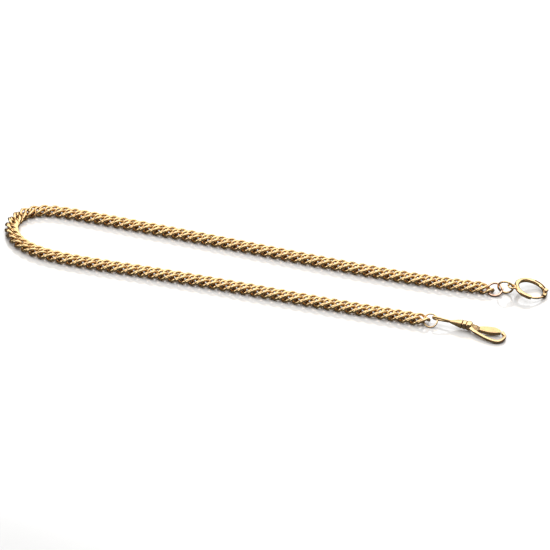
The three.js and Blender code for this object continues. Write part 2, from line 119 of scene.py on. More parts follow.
def corners(node: str) -> np.ndarray:
    """The corners of a CAD node's mesh.

    Args:
        node: The node's name.

    Returns:
        One row of three metres for each corner.
    """
    return np.array([v.co for v in FRAME["nodes"][node].data.vertices], float)


# ---- Mesh tools --------------------------------------------------------------------------------------
def rounded(points: list[tuple[float, ...]], steps: int, closed: bool = False) -> np.ndarray:
    """Draws a smooth curve through points.

    Args:
        points: The points, in order.
        steps: How many pieces each span is drawn in.
        closed: Whether the last point joins the first.

    Returns:
        The curve's points, three numbers each.
    """
    through = np.array([(*p, 0.0)[:3] for p in points], float)
    count = len(through)
    spans = count if closed else count - 1
    made = []
    for i in range(spans):
        if closed:
            a, b, c, d = (through[(i + k) % count] for k in (-1, 0, 1, 2))
        else:
            b, c = through[i], through[i + 1]
            a = through[i - 1] if i else 2 * b - c
            d = through[i + 2] if i + 2 < count else 2 * c - b
        legs = ((a, b), (b, c), (c, d))
        knots = np.cumsum([0.0] + [max(np.linalg.norm(q - p), 1e-9) ** 0.5 for p, q in legs])
        for t in np.linspace(knots[1], knots[2], steps, endpoint=False):
            first = [_between(t, knots[k], knots[k + 1], p, q) for k, (p, q) in enumerate(legs)]
            second = [_between(t, knots[k], knots[k + 2], first[k], first[k + 1]) for k in (0, 1)]
            made.append(_between(t, knots[1], knots[2], *second))
    if not closed:
        made.append(through[-1])
    return np.array(made)


def _between(t: float, low: float, high: float, start: np.ndarray, end: np.ndarray) -> np.ndarray:
    """Blends two points as t goes from low to high."""
    return ((high - t) * start + (t - low) * end) / (high - low)


def wire_ring(
    path: np.ndarray, lift: np.ndarray, radius: float | np.ndarray, sides: int, closed: bool
) -> Shape:
    """Sweeps a round wire along a path.

    Args:
        path: The wire's middle, point by point.
        lift: A direction across the wire at each point, or one for all of them.
        radius: The wire's radius, or one for each point.
        sides: How many corners the section has.
        closed: Whether the wire joins itself.

    Returns:
        The corners and the faces.
    """
    count = len(path)
    if closed:
        ahead = np.roll(path, -1, 0) - np.roll(path, 1, 0)
    else:
        ahead = np.gradient(path, axis=0)
    ahead /= np.linalg.norm(ahead, axis=1, keepdims=True)
    lift = np.broadcast_to(lift, path.shape)
    out = np.cross(ahead, lift)
    out /= np.linalg.norm(out, axis=1, keepdims=True)
    lift = np.cross(out, ahead)
    angle = 2 * math.pi * (np.arange(sides) + 0.5) / sides
    size = np.broadcast_to(radius, (count,))[:, None, None]
    section = out[:, None, :] * np.cos(angle)[None, :, None] + lift[:, None, :] * np.sin(angle)[None, :, None]
    verts = (path[:, None, :] + section * size).reshape(-1, 3)
    faces = [
        [i * sides + j, i * sides + (j + 1) % sides, (i + 1) % count * sides + (j + 1) % sides,
         (i + 1) % count * sides + j]
        for i in range(count if closed else count - 1)
        for j in range(sides)
    ]
    if not closed:
        faces.append(list(range(sides)))
        faces.append(list(range((count - 1) * sides, count * sides)))
    return verts, faces


def turned(profile: Profile, segments: int) -> Shape:
    """Turns a profile round the X axis.

    Args:
        profile: Places along X with their radii. It starts and ends on the axis, or it closes on itself.
        segments: How many steps a full turn has.

    Returns:
        The corners and the faces.
    """
    verts: list[tuple[float, float, float]] = []
    rows: list[list[int]] = []
    for x, r in profile:
        if r < ON_AXIS:
            rows.append([len(verts)] * segments)
            verts.append((x, 0.0, 0.0))
            continue
        rows.append(list(range(len(verts), len(verts) + segments)))
        verts += [(x, r * math.cos(a), r * math.sin(a)) for a in np.arange(segments) * 2 * math.pi / segments]
    loops = list(zip(rows, rows[1:]))
    if profile[0][1] > ON_AXIS:
        loops.append((rows[-1], rows[0]))
    faces = []
    for low, high in loops:
        for j in range(segments):
            k = (j + 1) % segments
            face = list(dict.fromkeys([low[j], low[k], high[k], high[j]]))
            if len(face) > 2:
                faces.append(face)
    return np.array(verts), faces


def plate(outline: np.ndarray, thickness: float, middle: float = 0.0) -> Shape:
    """Gives a flat outline a thickness.

    Args:
        outline: The outline's points in the XY plane.
        thickness: How thick the plate is.
        middle: The height of the plate's middle.

    Returns:
        The corners and the faces.
    """
    count = len(outline)
    flat = np.array(outline, float)[:, :2]
    low, high = (np.c_[flat, np.full(count, middle + side * thickness / 2)] for side in (-1, 1))
    walls = [[i, (i + 1) % count, count + (i + 1) % count, count + i] for i in range(count)]
    return np.vstack([low, high]), [*walls, list(range(count)), list(range(count, 2 * count))]


def forged(name: str, *shapes: Shape) -> bpy.types.Object:
    """Makes an object from one or more closed shapes.

    Args:
        name: The object's name.
        shapes: Corners and faces of each shape.

    Returns:
        The object, linked to the scene.
    """
    mesh = bpy.data.meshes.new(name)
    verts: list = []
    faces: list[list[int]] = []
    for corner_rows, face_rows in shapes:
        start = len(verts)
        verts += [tuple(row) for row in corner_rows]
        faces += [[start + i for i in face] for face in face_rows]
    mesh.from_pydata(verts, [], faces)
    skin = bmesh.new()
    skin.from_mesh(mesh)
    bmesh.ops.recalc_face_normals(skin, faces=skin.faces)
    skin.to_mesh(mesh)
    skin.free()
    piece = bpy.data.objects.new(name, mesh)
    bpy.context.scene.collection.objects.link(piece)
    return piece


def settle(piece: bpy.types.Object) -> None:
    """Applies all of a piece's modifiers to its mesh.

    Args:
        piece: The piece.
    """
    graph = bpy.context.evaluated_depsgraph_get()
    mesh = bpy.data.meshes.new_from_object(piece.evaluated_get(graph))
    old = piece.data
    piece.modifiers.clear()
    piece.data = mesh
    mesh.name = piece.name
    bpy.data.meshes.remove(old)


class Joinery(Enum):
    """How one closed shape is worked with another."""

    ADD = "UNION"
    CUT = "DIFFERENCE"
    COMMON = "INTERSECT"


def work(piece: bpy.types.Object, how: Joinery, *tools: bpy.types.Object) -> None:
    """Works a piece with other closed shapes, which are used up.

    Args:
        piece: The piece that is changed.
        how: Whether the tools are added, cut away or kept in common.
        tools: The shapes to work it with.
    """
    for tool in tools:
        step = piece.modifiers.new(how.name, "BOOLEAN")
        step.operation = how.value
        step.object = tool
        step.solver = "MANIFOLD"
        settle(piece)
        bpy.data.objects.remove(tool)


def cast(piece: bpy.types.Object, grain: float, polish: int) -> None:
    """Rounds a piece's edges and inside corners a little, as casting and polishing do.

    Args:
        piece: A closed piece in millimetres.
        grain: How fine the new surface is drawn.
        polish: How often it is smoothed.
    """
    melt = piece.modifiers.new("melt", "REMESH")
    melt.mode = "VOXEL"
    melt.voxel_size = grain
    rub = piece.modifiers.new("rub", "SMOOTH")
    rub.factor = 0.5
    rub.iterations = polish
    settle(piece)


# ---- Finishes ----------------------------------------------------------------------------------------
class Grain(Enum):
    """Which way a finish is worked."""

    ROUND = (1.0, 1.0, 1.0)
    ALONG = (0.12, 1.0, 1.0)


PATCH_SIZE, PATCH_SPREAD = 420.0, (0.38, 0.62)  # soft patches of the other tone
SMEAR_SIZE, SMEAR_SPREAD = 1600.0, (0.3, 0.7)  # handling marks, seen in the gloss
WORN_EDGE = (0.5, 0.58)  # how sharp an edge is before it is rubbed light
RECESS_REACH, RECESS_OPEN = 0.0009, (0.2, 0.9)  # painted shade in recesses: metres looked round a point, and how open it is
EDGE_LIGHT, EDGE_KEEP = 0.4, 0.62  # a rubbed edge: white added to this much of the tone


@dataclass(frozen=True)
class Finish:
    """A metal finish.

    Attributes:
        name: The material's name.
        slot: The record's material slot.
        tone: The metal's colour.
        blush: Its colour in soft patches.
        recess_shade: The painted shade its colour darkens to in recesses.
        gloss: The lowest and highest roughness.
        grain: Which way it is worked.
        marks: How many working marks there are to a metre.
        depth: How deep the marks are, in metres.
        wear: How much lighter the edges are rubbed, from 0 to 1.
    """

    name: str
    slot: str
    tone: Colour
    blush: Colour
    recess_shade: Colour
    gloss: tuple[float, float]
    grain: Grain = Grain.ROUND
    marks: float = 9000.0
    depth: float = 0.000004
    wear: float = 0.25

    def material(self) -> bpy.types.Material:
        """Makes the material, or finds it if it is there already.

        Returns:
            The material.
        """
        made = bpy.data.materials.get(self.name)
        if made:
            return made
        made = bpy.data.materials.new(self.name)
        made.use_nodes = True
        tree = made.node_tree
        shader = tree.nodes["Principled BSDF"]
        shader.inputs["Metallic"].default_value = 1.0
        place = tree.nodes.new("ShaderNodeTexCoord").outputs["Object"]
        patches = self._noise(tree, place, PATCH_SIZE, 3.0)
        tint = self._mix(tree, self._range(tree, patches, PATCH_SPREAD, (0.0, 1.0)), self.tone, self.blush)
        worn = self._range(tree, self._pointiness(tree), WORN_EDGE, (0.0, self.wear))
        rubbed = tuple(min(1.0, EDGE_LIGHT + EDGE_KEEP * c) for c in self.tone)
        tint = self._mix(tree, worn, tint, rubbed)
        # Painted shade: the colour is darkened towards the recess shade colour where ambient occlusion finds
        # the surface closed in.
        shade = tree.nodes.new("ShaderNodeAmbientOcclusion")
        shade.samples = 6
        shade.inputs["Distance"].default_value = RECESS_REACH
        open_share = self._range(tree, shade.outputs["AO"], RECESS_OPEN, (0.0, 1.0))
        tree.links.new(self._mix(tree, open_share, self.recess_shade, tint), shader.inputs["Base Color"])
        smear = self._noise(tree, place, SMEAR_SIZE, 4.0)
        tree.links.new(self._range(tree, smear, SMEAR_SPREAD, self.gloss), shader.inputs["Roughness"])
        stretch = tree.nodes.new("ShaderNodeMapping")
        stretch.inputs["Scale"].default_value = self.grain.value
        tree.links.new(place, stretch.inputs["Vector"])
        marks = self._noise(tree, stretch.outputs["Vector"], self.marks, 2.0)
        bump = tree.nodes.new("ShaderNodeBump")
        bump.inputs["Strength"].default_value = 0.5
        bump.inputs["Distance"].default_value = self.depth
        tree.links.new(marks, bump.inputs["Height"])
        tree.links.new(bump.outputs["Normal"], shader.inputs["Normal"])
        return made

    @staticmethod
    def _noise(
        tree: bpy.types.NodeTree, place: bpy.types.NodeSocket, scale: float, detail: float
    ) -> bpy.types.NodeSocket:
        """Adds a noise texture.

        Args:
            tree: The material's nodes.
            place: Where on the piece it is read.
            scale: How many patches there are to a metre.
            detail: How many finer layers it has.

        Returns:
            Its value.
        """
        noise = tree.nodes.new("ShaderNodeTexNoise")
        noise.inputs["Scale"].default_value = scale
        noise.inputs["Detail"].default_value = detail
        tree.links.new(place, noise.inputs["Vector"])
        return noise.outputs["Fac"]

    @staticmethod
    def _pointiness(tree: bpy.types.NodeTree) -> bpy.types.NodeSocket:
        """Adds a reading of how sharp the surface is and returns it."""
        return tree.nodes.new("ShaderNodeNewGeometry").outputs["Pointiness"]

    @staticmethod
    def _range(
        tree: bpy.types.NodeTree,
        value: bpy.types.NodeSocket,
        source: tuple[float, float],
        target: tuple[float, float],
    ) -> bpy.types.NodeSocket:
        """Maps a value from one range to another.

        Args:
            tree: The material's nodes.
            value: The value.
            source: The range that it has.
            target: The range that it gets.

        Returns:
            The mapped value.
        """
        step = tree.nodes.new("ShaderNodeMapRange")
        step.inputs["From Min"].default_value, step.inputs["From Max"].default_value = source
        step.inputs["To Min"].default_value, step.inputs["To Max"].default_value = target
        tree.links.new(value, step.inputs["Value"])
        return step.outputs["Result"]

    @staticmethod
    def _mix(
        tree: bpy.types.NodeTree,
        share: bpy.types.NodeSocket,
        low: Colour | bpy.types.NodeSocket,
        high: Colour | bpy.types.NodeSocket,
    ) -> bpy.types.NodeSocket:
        """Mixes two colours, each a colour or another node's result.

        Args:
            tree: The material's nodes.
            share: How much of the second colour there is.
            low: The first colour.
            high: The second colour.

        Returns:
            The mix.
        """
        step = tree.nodes.new("ShaderNodeMix")
        step.data_type = "RGBA"
        tree.links.new(share, step.inputs["Factor"])
        for socket, colour in ((step.inputs[6], low), (step.inputs[7], high)):
            if isinstance(colour, tuple):
                socket.default_value = (*colour, 1.0)
            else:
                tree.links.new(colour, socket)
        return step.outputs[2]


CHAIN_GOLD = Finish("chain_gold_drawn", "chain_gold", (0.86, 0.61, 0.27), (0.86, 0.55, 0.25),
                    (0.24, 0.1, 0.015), (0.14, 0.3))
BRIGHT_GOLD = Finish("hardware_gold_polished", "polished_gold", (0.87, 0.65, 0.32), (0.87, 0.58, 0.32),
                     (0.38, 0.2, 0.06), (0.06, 0.16), marks=5000.0, depth=0.000002)
SATIN_GOLD = Finish("hardware_gold_satin", "polished_gold", (0.85, 0.62, 0.29), (0.86, 0.55, 0.28),
                    (0.4, 0.2, 0.06), (0.24, 0.38), Grain.ALONG, 16000.0, 0.000006)
ROSE_GOLD = Finish("rose_gold_polished", "rose_gold", (0.93, 0.57, 0.4), (0.95, 0.66, 0.5),
                   (0.35, 0.14, 0.07), (0.08, 0.2), marks=5000.0, depth=0.000002)
DARK_PIN = Finish("pin_gold_darkened", "polished_gold", (0.42, 0.17, 0.07), (0.55, 0.25, 0.1),
                  (0.12, 0.04, 0.02), (0.2, 0.35))
SPRING_STEEL = Finish("spring_steel_drawn", "spring_steel", (0.6, 0.58, 0.54), (0.5, 0.46, 0.42),
                      (0.12, 0.1, 0.09), (0.2, 0.4), Grain.ALONG, 12000.0, 0.000004)


def set_down(
    piece: bpy.types.Object,
    place: Matrix,
    body: str,
    finish: Finish,
    replaced: tuple[str, ...],
    flat_over: float = 50.0,
) -> None:
    """Moves a piece from its own millimetres into the frame, dresses it and lets it ride.

    Args:
        piece: The piece, with its modifiers applied.
        place: The matrix of its sub-assembly.
        body: The body that carries it.
        finish: Its finish.
        replaced: The CAD nodes that it stands for.
        flat_over: Edges sharper than this many degrees stay crisp.
    """
    piece.data.transform(place)
    piece.data.shade_smooth()
    piece.data.set_sharp_from_angle(angle=math.radians(flat_over))
    piece.data.materials.clear()
    piece.data.materials.append(finish.material())
    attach(piece, body)
    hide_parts(*replaced)
    LOG.info("%s rides on %s in %s", piece.name, body, finish.name)


def dress_node(node: str, finish: Finish) -> None:
    """Gives a CAD node that stays in sight its finish.

    Args:
        node: The node's name.
        finish: Its finish.
    """
    carried = FRAME["nodes"][node]
    carried.data.materials.clear()
    carried.data.materials.append(finish.material())
    LOG.info("%s keeps its shape in %s", node, finish.name)


# ---- The curb chain ----------------------------------------------------------------------------------
@dataclass
class CurbChain:
    """The double curb chain: every link is two round rings side by side, twisted together.

    Attributes:
        pairs: How many pairs of links there are.
        wire: The wire's diameter, in millimetres.
        apart: How far apart the middles of a link's two rings lie.
        half_length: Half a link's length, to the middle of the wire.
        half_width: Half its width, to the middle of the wire.
        twist: Degrees that a link's end is turned.
        fan: How far a link's two rings slide apart along the chain, each way.
        steps: Steps round a ring.
        sides: Sides of the wire.
    """

    pairs: int = 46
    wire: float = 0.96
    apart: float = 0.75
    half_length: float = 2.42
    half_width: float = 1.95
    twist: float = -50.0
    fan: float = 0.9
    steps: int = 40
    sides: int = 12

    def junctions(self) -> np.ndarray:
        """Finds the points between neighbouring links from the joints between the pairs.

        Returns:
            One row of three metres for each point, from the bolt ring's end to the swivel's.
        """
        known = {}
        for row in FRAME["joints"]:
            ends = sorted((row["parent"], row["child"]))
            if all(end.startswith("pair_") for end in ends):
                known[2 * int(ends[0][-2:])] = np.array(row["pos_m"], float)
        last = 2 * self.pairs
        known[0] = 3 * known[2] - 3 * known[4] + known[6]
        known[last] = 3 * known[last - 2] - 3 * known[last - 4] + known[last - 6]
        before = {i: known[i] for i in known}
        before[-2] = 2 * known[0] - known[2]
        before[last + 2] = 2 * known[last] - known[last - 2]
        for i in range(1, last, 2):
            near = before[i - 1] + before[i + 1]
            if 3 <= i <= last - 3:
                known[i] = (9 * near - before[i - 3] - before[i + 3]) / 16
            else:
                known[i] = near / 2
        return np.array([known[i] for i in range(last + 1)])

    def ring(self, side: int) -> Shape:
        """One ring of a link, in the link's own axes.

        Args:
            side: -1 for the lower ring, 1 for the upper ring.

        Returns:
            The corners and the faces.
        """
        around = 2 * math.pi * np.arange(self.steps) / self.steps
        turn = math.radians(self.twist) * np.cos(around)
        aside = self.half_width * np.sin(around)
        lift = side * self.apart / 2
        path = np.c_[
            self.half_length * np.cos(around) + side * self.fan,
            aside * np.cos(turn) - lift * np.sin(turn),
            aside * np.sin(turn) + lift * np.cos(turn),
        ]
        across = np.c_[np.zeros(self.steps), -np.sin(turn), np.cos(turn)]
        return wire_ring(path, across, self.wire / 2, self.sides, True)

    def build(self) -> None:
        """Builds every pair of links and lets it ride on its body."""
        points = self.junctions()
        for pair in range(self.pairs):
            shapes = []
            for link in (2 * pair, 2 * pair + 1):
                start, end = Vector(points[link]), Vector(points[link + 1])
                place = Place((start + end) / 2, end - start, Vector((0, 0, 1))).matrix()
                turn, shift = np.array(place.to_3x3()), np.array(place.translation)
                for side in (-1, 1):
                    verts, faces = self.ring(side)
                    shapes.append(((verts @ turn.T + shift) / MM, faces))
            number = f"{pair + 1:02d}"
            piece = forged(f"curb_links_{number}", *shapes)
            set_down(piece, Matrix.Scale(MM, 4), f"pair_{number}", CHAIN_GOLD, (f"link_pair_{number}",))


# ---- The loose rings ---------------------------------------------------------------------------------
@dataclass
class LooseRing:
    """A ring of wire with its soldered seam, as big as its CAD node and where that lies.

    Attributes:
        name: The piece's name.
        node: The CAD node that it stands for.
        body: The body that carries it.
        finish: Its finish.
        seam: Where the seam is, in degrees round the ring.
        sunk: How deep the seam's groove is, as a share of the wire.
        raised: How high the solder stands beside it.
        groove: How wide the groove is, in degrees.
        steps: Steps round the ring.
    """

    name: str
    node: str
    body: str
    finish: Finish
    seam: float = 120.0
    sunk: float = 0.09
    raised: float = 0.04
    groove: float = 4.0
    steps: int = 72

    def build(self) -> None:
        """Builds the ring."""
        rows = corners(self.node)
        centre = rows.mean(0)
        axes = np.linalg.svd(rows - centre, full_matrices=False)[2]
        flat = (rows - centre) @ axes[:2].T
        reach = np.hypot(flat[:, 0], flat[:, 1]) / MM
        radius, wire = (reach.max() + reach.min()) / 2, (reach.max() - reach.min()) / 2
        around = 2 * math.pi * np.arange(self.steps) / self.steps
        path = np.c_[radius * np.cos(around), radius * np.sin(around), 0 * around]
        off = np.abs((np.degrees(around) - self.seam + 180) % 360 - 180)
        beside = off - 2.25 * self.groove
        sunk = self.sunk * np.exp(-((off / self.groove) ** 2))
        solder = np.minimum(1 - sunk + self.raised * np.exp(-((beside / self.groove) ** 2)), 1.0)
        piece = forged(self.name, wire_ring(path, ACROSS, wire * solder, 20, True))
        place = Place(Vector(centre), Vector(axes[0]), Vector(axes[2])).matrix()
        set_down(piece, place, self.body, self.finish, (self.node,))


# ---- The bolt ring -----------------------------------------------------------------------------------
@dataclass
class BoltRing:
    """The bolt ring: a tube bent to a ring, a bolt that slides in it, its knob and its spring.

    Attributes:
        radius: To the middle of the tube, in millimetres.
        tube: The tube's outer diameter.
        wall: Its wall.
        ends: The tube's two mouths, in degrees.
        spring_end: Where the wider bore ends.
        play: Between the bolt and the bore.
        tip: Degrees of bolt inside the far mouth.
        travel: Degrees that the knob slides.
        knob_at: Where the knob stands.
        knob: Its radius.
        knob_height: Its height.
        knob_rise: Between the tube and the knob.
        stem: Its stem's radius.
        eye_wire: The eye's wire.
        eye_radius: The eye's radius.
        eye_seat: How deep the eye is let into the tube.
        eye_at: Where the eye stands, in degrees.
    """

    radius: float = 4.85
    tube: float = 1.56
    wall: float = 0.28
    ends: tuple[float, float] = (-25.0, 275.0)
    spring_end: float = 150.0
    play: float = 0.14
    tip: float = 12.0
    travel: float = 70.0
    knob_at: float = 4.0
    knob: float = 0.85
    knob_height: float = 0.7
    knob_rise: float = 0.1
    stem: float = 0.2
    eye_wire: float = 0.66
    eye_radius: float = 1.15
    eye_seat: float = 0.15
    eye_at: float = 195.0

    def place(self) -> Matrix:
        """Finds the ring's own axes, with X towards zero degrees.

        Returns:
            The matrix from own millimetres to metres of the frame.
        """
        row = joint("bolt_slide")
        centre, up = Vector(row["pos_m"]), Vector(row["axis"])
        rows = corners("bolt_ring_tube") - np.array(centre)
        reach = np.linalg.norm(rows - np.outer(rows @ np.array(up), np.array(up)), axis=1)
        eye = Vector(rows[reach > (self.radius + self.tube) * MM].mean(0))
        return Place(centre, Matrix.Rotation(-math.radians(self.eye_at), 3, up) @ eye, up).matrix()

    def arc(self, start: float, end: float) -> np.ndarray:
        """Points along the tube's middle.

        Args:
            start: The first angle, in degrees.
            end: The last angle.

        Returns:
            The points, three numbers each.
        """
        angle = np.radians(np.linspace(start, end, max(3, int(abs(end - start) / 3))))
        return np.c_[self.radius * np.cos(angle), self.radius * np.sin(angle), 0 * angle]

    def rod(self, name: str, radius: float, start: float, end: float, sides: int = 28) -> bpy.types.Object:
        """A bent rod of one radius along the tube's middle."""
        return forged(name, wire_ring(self.arc(start, end), ACROSS, radius, sides, False))

    def build_tube(self, place: Matrix) -> None:
        """Builds the tube with its bore, its slot and the eye.

        Args:
            place: The matrix of its sub-assembly.
        """
        bore = self.tube / 2 - self.wall
        low, high = self.ends
        piece = self.rod("bolt_ring_shell", self.tube / 2, low, high)
        around = 2 * math.pi * np.arange(48) / 48
        middle = self.radius + self.tube / 2 + self.eye_radius - self.eye_seat
        path = np.c_[self.eye_radius * np.cos(around) + middle, self.eye_radius * np.sin(around), 0 * around]
        eye = forged("eye", wire_ring(path, ACROSS, self.eye_wire / 2, 16, True))
        solder = forged("solder", turned([(-0.6, 0), (-0.35, 0.62), (0.12, 0.46), (0.3, 0)], 20))
        solder.data.transform(Matrix.Translation((self.radius + self.tube / 2, 0, 0)))
        for part in (eye, solder):
            part.data.transform(Matrix.Rotation(math.radians(self.eye_at), 4, "Z"))
        slot_half = self.stem + self.play
        slot = self.rod("slot", slot_half, self.knob_at - 5, self.knob_at + self.travel + 5, 16)
        slot.data.transform(Matrix.Diagonal((1, 1, 4, 1)))
        slot.data.transform(Matrix.Translation((0, 0, 3.3 * slot_half)))
        work(piece, Joinery.ADD, eye, solder)
        work(piece, Joinery.CUT, self.rod("bore", bore, low - 9, self.spring_end),
             self.rod("mouth", bore, high - self.tip - 6, high + 9), slot)
        cast(piece, 0.05, 6)
        set_down(piece, place, "bolt_ring", BRIGHT_GOLD, ("bolt_ring_tube",), 60)

    def build_bolt(self, place: Matrix) -> None:
        """Builds the sliding bolt with its rounded tip, and the knob.

        Args:
            place: The matrix of its sub-assembly.
        """
        radius = self.tube / 2 - self.wall - self.play
        path = self.arc(self.ends[1] - 360 - self.tip, self.knob_at + 12)
        size = np.full(len(path), radius)
        size[:3] = radius * np.array([0.55, 0.85, 0.97])
        piece = forged("sliding_bolt_rod", wire_ring(path, ACROSS, size, 24, False))
        set_down(piece, place, "bolt", BRIGHT_GOLD, ("sliding_bolt",))
        foot, under, wide = 0.1, self.tube / 2 + self.knob_rise, self.knob
        top = under + self.knob_height
        profile = [(foot, 0), (foot, self.stem), (under, self.stem), (under, wide * 0.8),
                   (under + 0.08, wide * 0.94), (under + self.knob_height * 0.4, wide),
                   (under + self.knob_height * 0.7, wide * 0.9), (top - 0.06, wide * 0.62),
                   (top, wide * 0.3), (top, 0)]
        knob = forged("thumb_knob_turned", turned(profile, 40))
        stand = Matrix.Rotation(math.radians(self.knob_at), 4, "Z") @ Matrix.Translation((self.radius, 0, 0))
        knob.data.transform(stand @ Matrix.Rotation(-math.pi / 2, 4, "Y"))
        set_down(knob, place, "bolt", BRIGHT_GOLD, ("thumb_knob",), 40)

    def build(self) -> None:
        """Builds the whole bolt ring."""
        place = self.place()
        self.build_tube(place)
        self.build_bolt(place)
        dress_node("bolt_spring", SPRING_STEEL)


# ---- The swivel and the snap hook --------------------------------------------------------------------
@dataclass
class Swivel:
    """The swivel: a long eye on a trumpet that turns on a rivet, and the collar that takes the rivet.

    Attributes:
        roll: How the eye is turned, in degrees.
        gap: The groove between the trumpet and the collar, in millimetres.
        wire: The eye's wire.
        width: The eye's outer width.
        length: The eye's outer length.
        cone: The trumpet's length.
        neck: Its radius at the eye.
        mouth: Its radius at the groove.
        rivet: The rivet's radius.
        rivet_head: Its head's radius.
        rivet_head_length: Its head's length.
        collar: The collar's radius.
        collar_length: Its length.
    """

    roll: float = 115.0
    gap: float = 0.16
    wire: float = 0.7
    width: float = 2.6
    length: float = 6.2
    cone: float = 4.4
    neck: float = 0.5
    mouth: float = 1.45
    rivet: float = 0.42
    rivet_head: float = 0.78
    rivet_head_length: float = 0.6
    collar: float = 1.5
    collar_length: float = 1.3

    def build_eye(self, place: Matrix) -> None:
        """Builds the long eye with its trumpet.

        Args:
            place: The matrix of its sub-assembly.
        """
        wide = (self.width - self.wire) / 2
        long = self.length - self.wire
        neck = -self.gap - self.cone
        start, turn = neck + 0.15 - long, wide * 0.8
        half = [(start + turn * 0.45, 0.8), (start + turn * 1.3, 1.0),
                (start + long * 0.6, 0.75), (start + long, 0.3)]
        points = [(start, 0.0), *((x, -wide * y) for x, y in half), *((x, wide * y) for x, y in half[::-1])]
        loop = wire_ring(rounded(points, 10, True), ACROSS, self.wire / 2, 18, True)
        flare = self.mouth - self.neck
        profile = [(neck - 0.2, 0), (neck - 0.2, self.neck * 0.85), (neck + 0.25, self.neck)]
        for t in np.linspace(0.15, 0.86, 8):
            profile.append((neck + self.cone * t, self.neck + flare * min(1.0, 1.07 * t - 0.06 * (1 - t))))
        end = -self.gap
        profile += [(end - 0.3, self.mouth), (end - 0.08, self.mouth), (end, self.mouth * 0.95), (end, 0)]
        piece = forged("swivel_long_eye", loop)
        work(piece, Joinery.ADD, forged("trumpet", turned(profile, 48)))
        cast(piece, 0.045, 6)
        roll = place @ Matrix.Rotation(math.radians(self.roll), 4, "X")
        set_down(piece, roll, "swivel_head", SATIN_GOLD, ("swivel_eye",), 60)

    def build_collar(self, place: Matrix) -> None:
        """Builds the bead that takes the rivet.

        Args:
            place: The matrix of its sub-assembly.
        """
        hole, big, long = self.rivet + self.gap, self.collar, self.collar_length
        profile = [(0, hole), (0, big * 0.8)]
        for t in np.linspace(0.06, 0.94, 11):
            profile.append((long * t, big * (0.84 + 0.16 * math.sin(math.pi * t) ** 0.6)))
        profile += [(long, big * 0.8), (long, hole)]
        piece = forged("swivel_bead", turned(profile, 56))
        set_down(piece, place, "clasp", BRIGHT_GOLD, ("swivel_collar",), 40)

    def build(self, place: Matrix) -> None:
        """Builds the swivel.

        Args:
            place: The snap hook's own axes.
        """
        self.build_eye(place)
        self.build_collar(place)
        dress_node("swivel_rivet", BRIGHT_GOLD)


